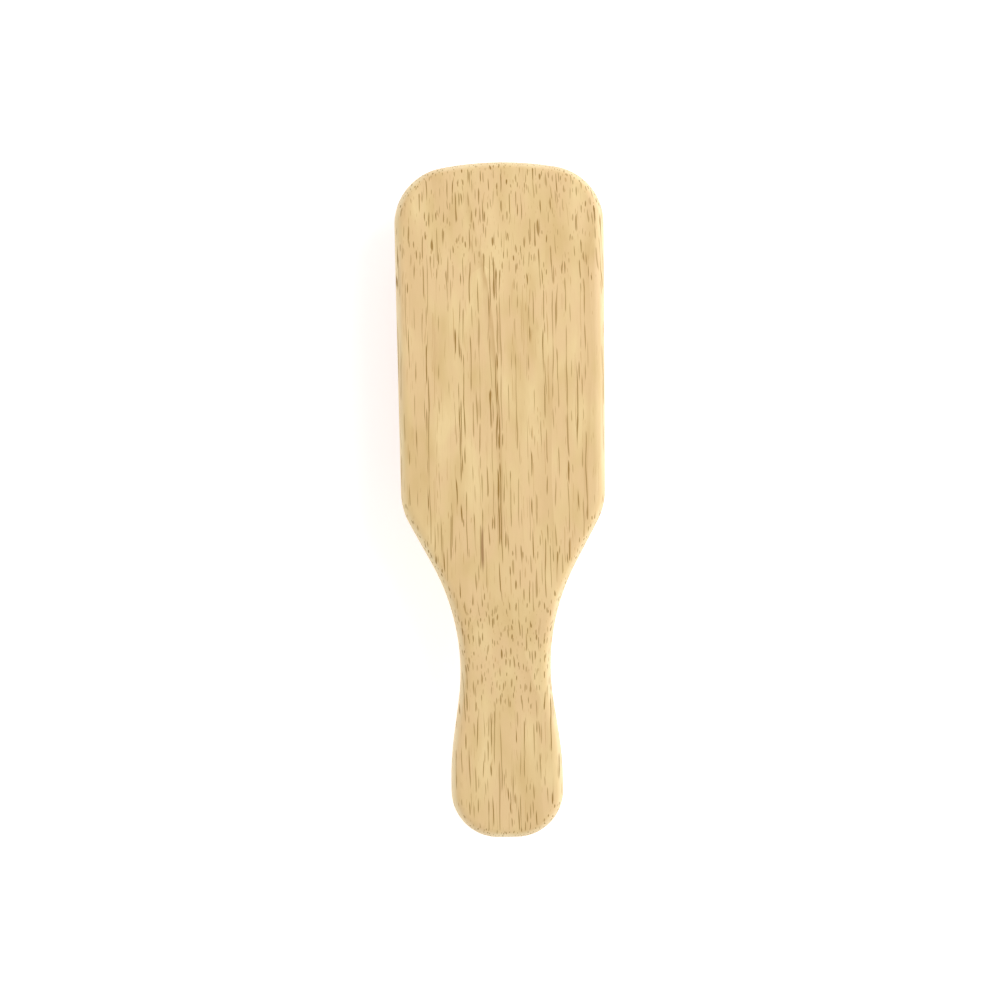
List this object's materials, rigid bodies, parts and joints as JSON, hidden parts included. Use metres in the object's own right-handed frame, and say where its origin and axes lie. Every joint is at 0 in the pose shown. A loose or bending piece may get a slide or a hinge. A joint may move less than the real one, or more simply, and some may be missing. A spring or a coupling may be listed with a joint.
{
  "type": "paddle brush",
  "caption": "Wooden paddle hairbrush with a one-piece wooden back and handle, an air-cushioned rubber pad and wooden pins with rounded tips.",
  "frame": {"origin": "under the middle of the brush's box, in the plane that the pin tips touch", "axes": "+Y along the brush from the handle to the tip of the head, +Z out of the flat back, so the pins point down -Z"},
  "size_m": [0.0712, 0.23, 0.038],
  "materials": {
    "back_wood": "satin",
    "cushion_rubber": "satin",
    "backing_card_stock": "matte",
    "pin_wood": "satin"
  },
  "bodies": {
    "back_and_cushion": {"wood_body": "back_wood", "rubber_cushion": "cushion_rubber"},
    "pin_bed": {"backing_card": "backing_card_stock"},
    "pin_line_01": {"pin_line_01": "pin_wood"},
    "pin_line_02": {"pin_line_02": "pin_wood"},
    "pin_line_03": {"pin_line_03": "pin_wood"},
    "pin_line_04": {"pin_line_04": "pin_wood"},
    "pin_line_05": {"pin_line_05": "pin_wood"},
    "pin_line_06": {"pin_line_06": "pin_wood"},
    "pin_line_07": {"pin_line_07": "pin_wood"},
    "pin_line_08": {"pin_line_08": "pin_wood"},
    "pin_line_09": {"pin_line_09": "pin_wood"},
    "pin_line_10": {"pin_line_10": "pin_wood"},
    "pin_line_11": {"pin_line_11": "pin_wood"},
    "pin_line_12": {"pin_line_12": "pin_wood"},
    "pin_line_13": {"pin_line_13": "pin_wood"}
  },
  "joints": [
    {"name": "cushion_press", "type": "slide", "parent": "back_and_cushion", "child": "pin_bed", "axis": [0, 0, 1], "range_m": [0, 0.003], "stiffness_N_per_m": 5500, "deforming": ["rubber_cushion"]},
    {"name": "pin_line_01_lean", "type": "hinge", "parent": "pin_bed", "child": "pin_line_01", "pos_m": [-0.02145, 0, 0.0179], "axis": [0, 1, 0], "range_deg": [-7, 7], "stiffness_Nm_per_rad": 0.6},
    {"name": "pin_line_02_lean", "type": "hinge", "parent": "pin_bed", "child": "pin_line_02", "pos_m": [-0.01787, 0, 0.0179], "axis": [0, 1, 0], "range_deg": [-7, 7], "stiffness_Nm_per_rad": 0.6},
    {"name": "pin_line_03_lean", "type": "hinge", "parent": "pin_bed", "child": "pin_line_03", "pos_m": [-0.0143, 0, 0.0179], "axis": [0, 1, 0], "range_deg": [-7, 7], "stiffness_Nm_per_rad": 0.6},
    {"name": "pin_line_04_lean", "type": "hinge", "parent": "pin_bed", "child": "pin_line_04", "pos_m": [-0.01073, 0, 0.0179], "axis": [0, 1, 0], "range_deg": [-7, 7], "stiffness_Nm_per_rad": 0.6},
    {"name": "pin_line_05_lean", "type": "hinge", "parent": "pin_bed", "child": "pin_line_05", "pos_m": [-0.00715, 0, 0.0179], "axis": [0, 1, 0], "range_deg": [-7, 7], "stiffness_Nm_per_rad": 0.6},
    {"name": "pin_line_06_lean", "type": "hinge", "parent": "pin_bed", "child": "pin_line_06", "pos_m": [-0.00358, 0, 0.0179], "axis": [0, 1, 0], "range_deg": [-7, 7], "stiffness_Nm_per_rad": 0.6},
    {"name": "pin_line_07_lean", "type": "hinge", "parent": "pin_bed", "child": "pin_line_07", "pos_m": [0, 0, 0.0179], "axis": [0, 1, 0], "range_deg": [-7, 7], "stiffness_Nm_per_rad": 0.6},
    {"name": "pin_line_08_lean", "type": "hinge", "parent": "pin_bed", "child": "pin_line_08", "pos_m": [0.00358, 0, 0.0179], "axis": [0, 1, 0], "range_deg": [-7, 7], "stiffness_Nm_per_rad": 0.6},
    {"name": "pin_line_09_lean", "type": "hinge", "parent": "pin_bed", "child": "pin_line_09", "pos_m": [0.00715, 0, 0.0179], "axis": [0, 1, 0], "range_deg": [-7, 7], "stiffness_Nm_per_rad": 0.6},
    {"name": "pin_line_10_lean", "type": "hinge", "parent": "pin_bed", "child": "pin_line_10", "pos_m": [0.01073, 0, 0.0179], "axis": [0, 1, 0], "range_deg": [-7, 7], "stiffness_Nm_per_rad": 0.6},
    {"name": "pin_line_11_lean", "type": "hinge", "parent": "pin_bed", "child": "pin_line_11", "pos_m": [0.0143, 0, 0.0179], "axis": [0, 1, 0], "range_deg": [-7, 7], "stiffness_Nm_per_rad": 0.6},
    {"name": "pin_line_12_lean", "type": "hinge", "parent": "pin_bed", "child": "pin_line_12", "pos_m": [0.01787, 0, 0.0179], "axis": [0, 1, 0], "range_deg": [-7, 7], "stiffness_Nm_per_rad": 0.6},
    {"name": "pin_line_13_lean", "type": "hinge", "parent": "pin_bed", "child": "pin_line_13", "pos_m": [0.02145, 0, 0.0179], "axis": [0, 1, 0], "range_deg": [-7, 7], "stiffness_Nm_per_rad": 0.6}
  ]
}
